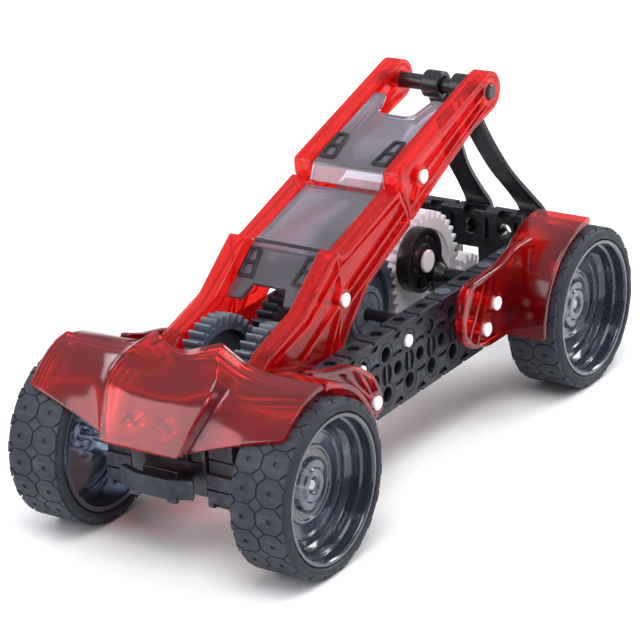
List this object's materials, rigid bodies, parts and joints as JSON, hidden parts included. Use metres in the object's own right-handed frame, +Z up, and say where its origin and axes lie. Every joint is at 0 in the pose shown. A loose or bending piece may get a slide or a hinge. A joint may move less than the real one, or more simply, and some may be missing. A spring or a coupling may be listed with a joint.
{
  "type": "geared toy racer kit",
  "caption": "Free-rolling construction-kit racer: hole-lattice chassis, open gear train driven by the rear axle, deep-dish wheels, clear red body panels and raked rails.",
  "frame": {"origin": "on the ground under the middle of the car", "axes": "+Z up, the nose points along -Y, +X is the car's left side seen from the driver's seat facing the nose"},
  "size_m": [0.096, 0.204, 0.1037],
  "materials": {
    "red_clear": "translucent moulded plastic, polished",
    "slate_plastic": "fine satin moulding",
    "black_plastic": "satin moulding",
    "grey_gear": "satin moulding",
    "white_plastic": "satin moulding",
    "smoke_clear": "smoke-tinted clear sheet",
    "tyre": "matte rubber with a block tread",
    "rim_clear": "smoke-tinted clear moulding, polished",
    "axle_steel": "drawn steel rod"
  },
  "bodies": {
    "chassis": {"side_beam_left": "slate_plastic", "side_beam_right": "slate_plastic", "rear_cross_wall": "black_plastic", "corner_block_left": "slate_plastic", "corner_block_right": "slate_plastic", "front_cross_member": "black_plastic", "front_bumper": "slate_plastic", "front_spacer": "black_plastic", "rear_spacer": "black_plastic", "nose_cowl": "red_clear", "front_arch_left": "red_clear", "front_arch_right": "red_clear", "rear_fender_left": "red_clear", "rear_fender_right": "red_clear", "lower_rail_left": "red_clear", "lower_rail_right": "red_clear", "upper_rail_left": "red_clear", "upper_rail_right": "red_clear", "roof_panel": "smoke_clear", "windscreen_panel": "smoke_clear", "top_shaft": "black_plastic", "strut_centre": "black_plastic", "strut_side": "black_plastic", "rail_pin_lower_left": "white_plastic", "rail_pin_lower_right": "white_plastic", "rail_pin_upper_left": "white_plastic", "rail_pin_upper_right": "white_plastic", "front_arch_pin_left": "white_plastic", "front_arch_pin_right": "white_plastic", "fender_pin_upper_left": "white_plastic", "fender_pin_upper_right": "white_plastic", "fender_pin_lower_left": "white_plastic", "fender_pin_lower_right": "white_plastic", "gear_bracket": "black_plastic", "bracket_cap": "white_plastic"},
    "front_wheels": {"front_axle": "axle_steel", "front_tyre_left": "tyre", "front_tyre_right": "tyre", "front_rim_left": "rim_clear", "front_rim_right": "rim_clear"},
    "rear_wheels": {"rear_axle": "axle_steel", "rear_tyre_left": "tyre", "rear_tyre_right": "tyre", "rear_rim_left": "rim_clear", "rear_rim_right": "rim_clear", "rear_pinion": "white_plastic"},
    "fourth_shaft": {"fourth_gear_shaft": "black_plastic", "fourth_gear": "white_plastic"},
    "third_shaft": {"third_gear_shaft": "black_plastic", "third_gear": "grey_gear"},
    "second_shaft": {"second_gear_shaft": "black_plastic", "second_gear": "grey_gear"},
    "front_shaft": {"front_gear_shaft": "black_plastic", "front_pinion": "grey_gear", "front_gear_left": "grey_gear", "front_gear_right": "grey_gear"}
  },
  "joints": [
    {"name": "front_wheels_spin", "type": "hinge", "parent": "chassis", "child": "front_wheels", "pos_m": [0, -0.0762, 0.0258], "axis": [1, 0, 0], "continuous": true},
    {"name": "rear_wheels_spin", "type": "hinge", "parent": "chassis", "child": "rear_wheels", "pos_m": [0, 0.0762, 0.0258], "axis": [1, 0, 0], "continuous": true},
    {"name": "fourth_shaft_spin", "type": "hinge", "parent": "chassis", "child": "fourth_shaft", "pos_m": [0, 0.0508, 0.0385], "axis": [1, 0, 0], "continuous": true},
    {"name": "third_shaft_spin", "type": "hinge", "parent": "chassis", "child": "third_shaft", "pos_m": [0, 0.0127, 0.0385], "axis": [1, 0, 0], "continuous": true},
    {"name": "second_shaft_spin", "type": "hinge", "parent": "chassis", "child": "second_shaft", "pos_m": [0, -0.0254, 0.0385], "axis": [1, 0, 0], "continuous": true},
    {"name": "front_shaft_spin", "type": "hinge", "parent": "chassis", "child": "front_shaft", "pos_m": [0, -0.0508, 0.0385], "axis": [1, 0, 0], "continuous": true}
  ],
  "couplings": [
    {"joint": "fourth_shaft_spin", "follows": "rear_wheels_spin", "ratio": -0.5},
    {"joint": "third_shaft_spin", "follows": "rear_wheels_spin", "ratio": 0.5},
    {"joint": "second_shaft_spin", "follows": "rear_wheels_spin", "ratio": -0.5},
    {"joint": "front_shaft_spin", "follows": "rear_wheels_spin", "ratio": 1.5}
  ]
}
